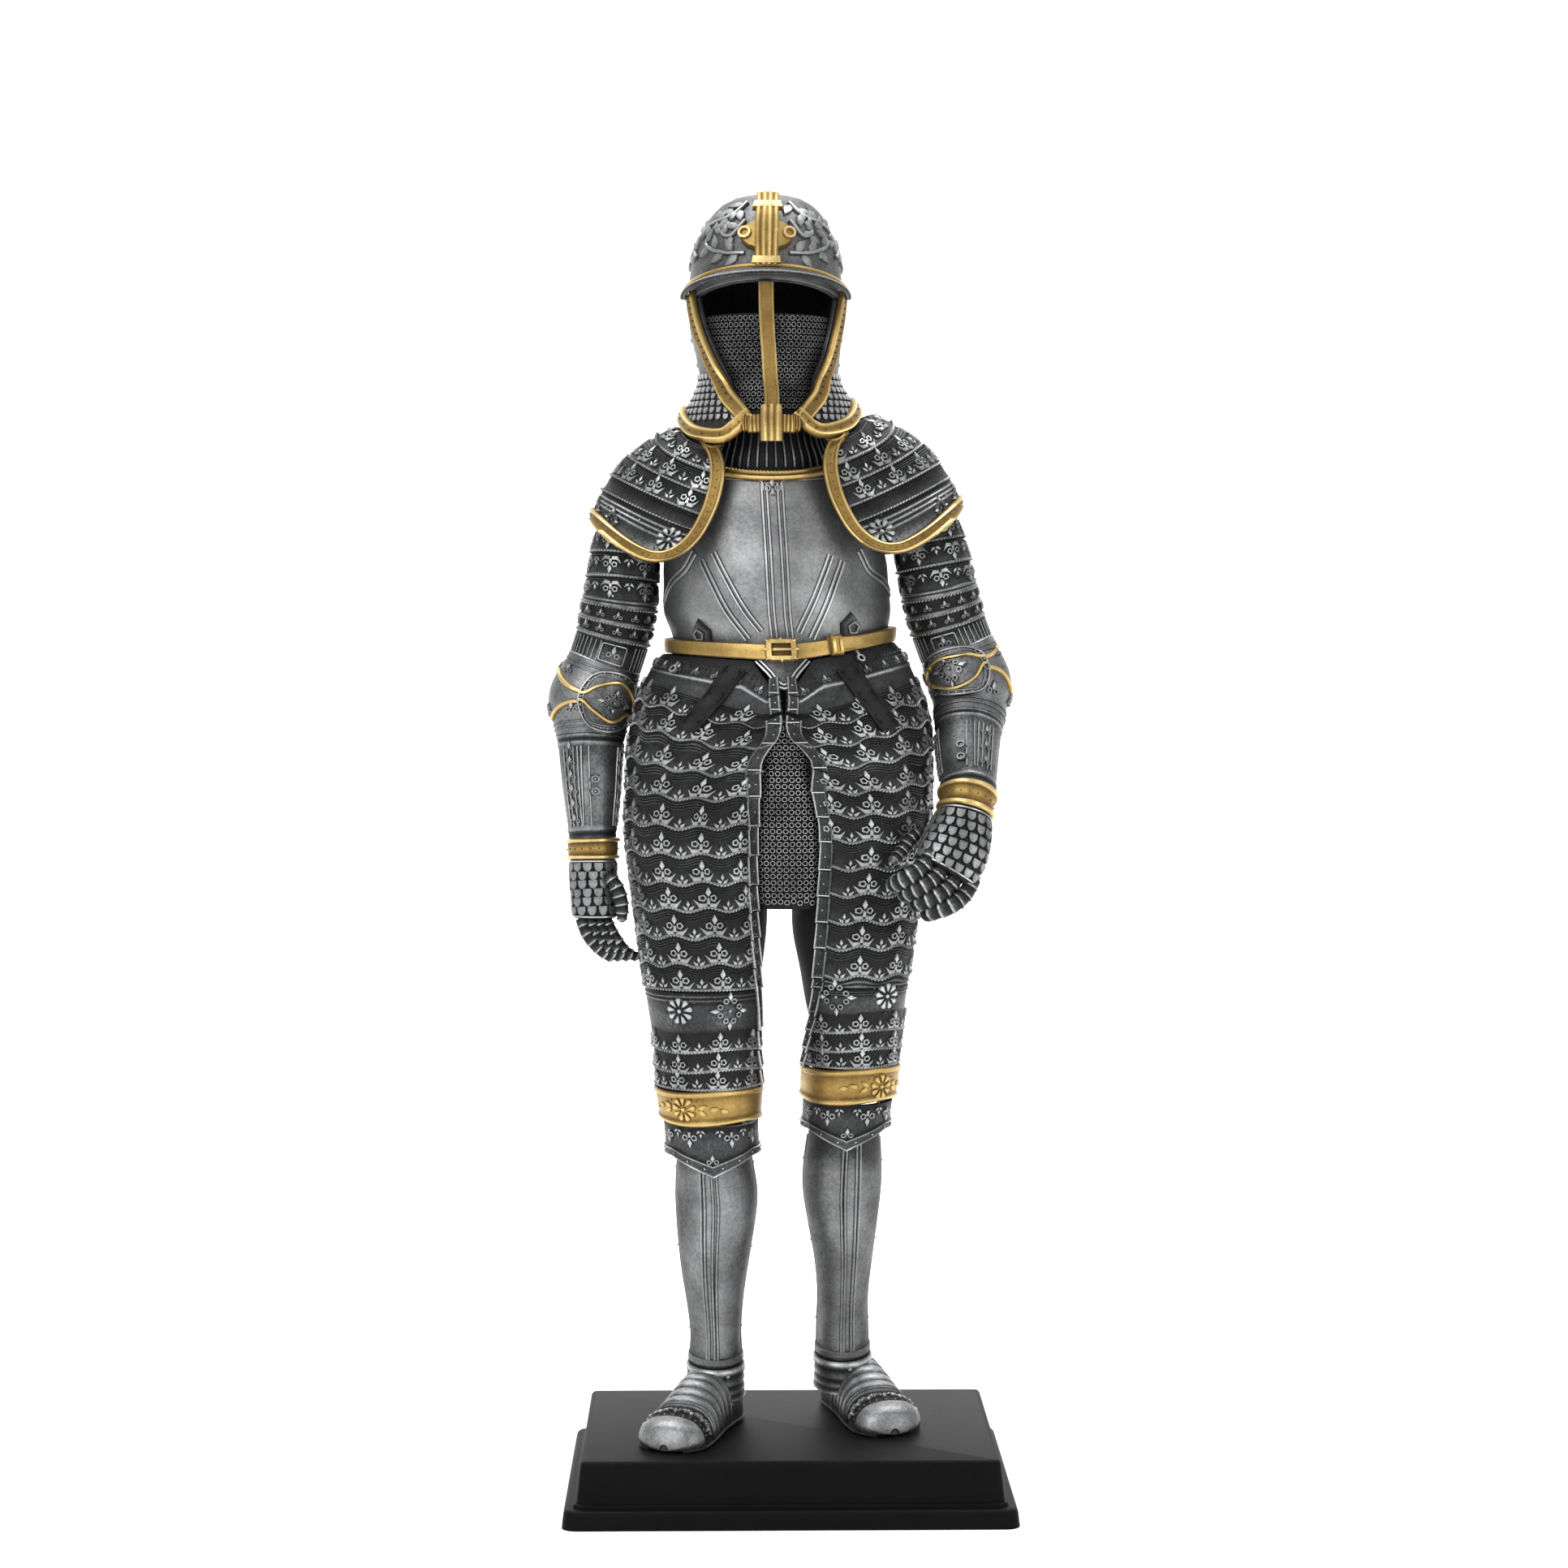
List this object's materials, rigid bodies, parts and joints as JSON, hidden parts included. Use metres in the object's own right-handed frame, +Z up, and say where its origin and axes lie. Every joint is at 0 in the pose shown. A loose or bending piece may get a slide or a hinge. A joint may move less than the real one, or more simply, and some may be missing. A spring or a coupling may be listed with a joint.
{
  "type": "miniature suit of plate armour on a plinth",
  "caption": "Miniature standing suit of plate armour with gilt trim, an open-faced helmet and a lily pattern in relief, on a stepped black plinth.",
  "frame": {"origin": "centre of the plinth's underside", "axes": "+Z up, the suit faces -Y, +X is its own left side"},
  "size_m": [0.111, 0.0794, 0.3122],
  "materials": {
    "steel": "antique silver, satin, with dark wash in the lines",
    "dark_steel": "antique silver over near-black recesses",
    "gilt": "dull gold with a brown wash",
    "mail": "dark rings with light edges",
    "hose_cloth": "matt black",
    "strap_leather": "matt black",
    "plinth_black": "matt black"
  },
  "bodies": {
    "root": {"backplate": "steel", "belt": "gilt", "belt_keeper": "gilt", "breastplate": "steel", "brow_bracket": "gilt", "buckle": "gilt", "cheek_l": "dark_steel", "cheek_r": "dark_steel", "cheek_rim_l": "gilt", "cheek_rim_r": "gilt", "chin_clasp": "gilt", "couter_l": "dark_steel", "couter_r": "dark_steel", "couter_wing_l": "dark_steel", "couter_wing_r": "dark_steel", "cuff_l": "gilt", "cuff_r": "gilt", "fauld_l": "dark_steel", "fauld_r": "dark_steel", "fingers_l": "dark_steel", "fingers_r": "dark_steel", "gauntlet_l": "dark_steel", "gauntlet_r": "dark_steel", "gorget": "dark_steel", "greave_l": "steel", "greave_r": "steel", "helmet_bowl": "steel", "helmet_peak": "steel", "hose_l": "hose_cloth", "hose_r": "hose_cloth", "knee_band_l": "gilt", "knee_band_r": "gilt", "knee_lame_l": "dark_steel", "knee_lame_r": "dark_steel", "mail_skirt": "mail", "mail_veil": "mail", "nasal_bar": "gilt", "neck_band": "gilt", "neck_guard": "steel", "pauldron_l": "dark_steel", "pauldron_r": "dark_steel", "pauldron_rim_l": "gilt", "pauldron_rim_r": "gilt", "plinth": "plinth_black", "rerebrace_l": "dark_steel", "rerebrace_r": "dark_steel", "sabaton_l": "dark_steel", "sabaton_r": "dark_steel", "strap_l": "strap_leather", "strap_r": "strap_leather", "tasset_l": "dark_steel", "tasset_r": "dark_steel", "thigh_plate_l": "dark_steel", "thigh_plate_r": "dark_steel", "thumb_l": "dark_steel", "thumb_r": "dark_steel", "upper_cannon_l": "dark_steel", "upper_cannon_r": "dark_steel", "vambrace_l": "dark_steel", "vambrace_r": "dark_steel"}
  },
  "joints": []
}
